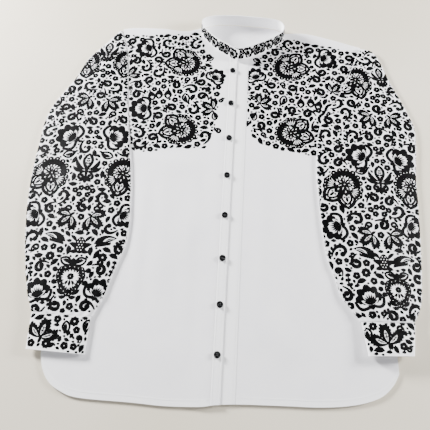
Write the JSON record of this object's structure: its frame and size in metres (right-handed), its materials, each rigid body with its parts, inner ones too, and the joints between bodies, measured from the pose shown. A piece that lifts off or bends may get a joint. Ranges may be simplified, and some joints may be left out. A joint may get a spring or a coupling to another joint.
{
  "type": "embroidered shirt",
  "caption": "White stand-collar shirt laid flat and buttoned, full cuffed sleeves turned down over its sides, with black floral embroidery.",
  "frame": {"origin": "middle of the shirt's outline on the surface it lies on", "axes": "+X to the wearer's left, which is the viewer's right, +Y up the front towards the collar, +Z off the surface"},
  "size_m": [0.7278, 0.7661, 0.0309],
  "materials": {
    "cotton": "plain weave, matt",
    "embroidery": "satin stitch, soft sheen",
    "button": "polished"
  },
  "bodies": {
    "root": {"back": "cotton", "right_front": "cotton", "left_front": "cotton", "overlap_band": "cotton", "underlap_band": "cotton", "collar_band": "cotton", "right_sleeve": "cotton", "left_sleeve": "cotton", "right_cuff": "cotton", "left_cuff": "cotton", "button_1": "button", "button_2": "button", "button_3": "button", "button_4": "button", "button_5": "button", "button_6": "button", "button_7": "button", "button_8": "button"}
  },
  "joints": []
}
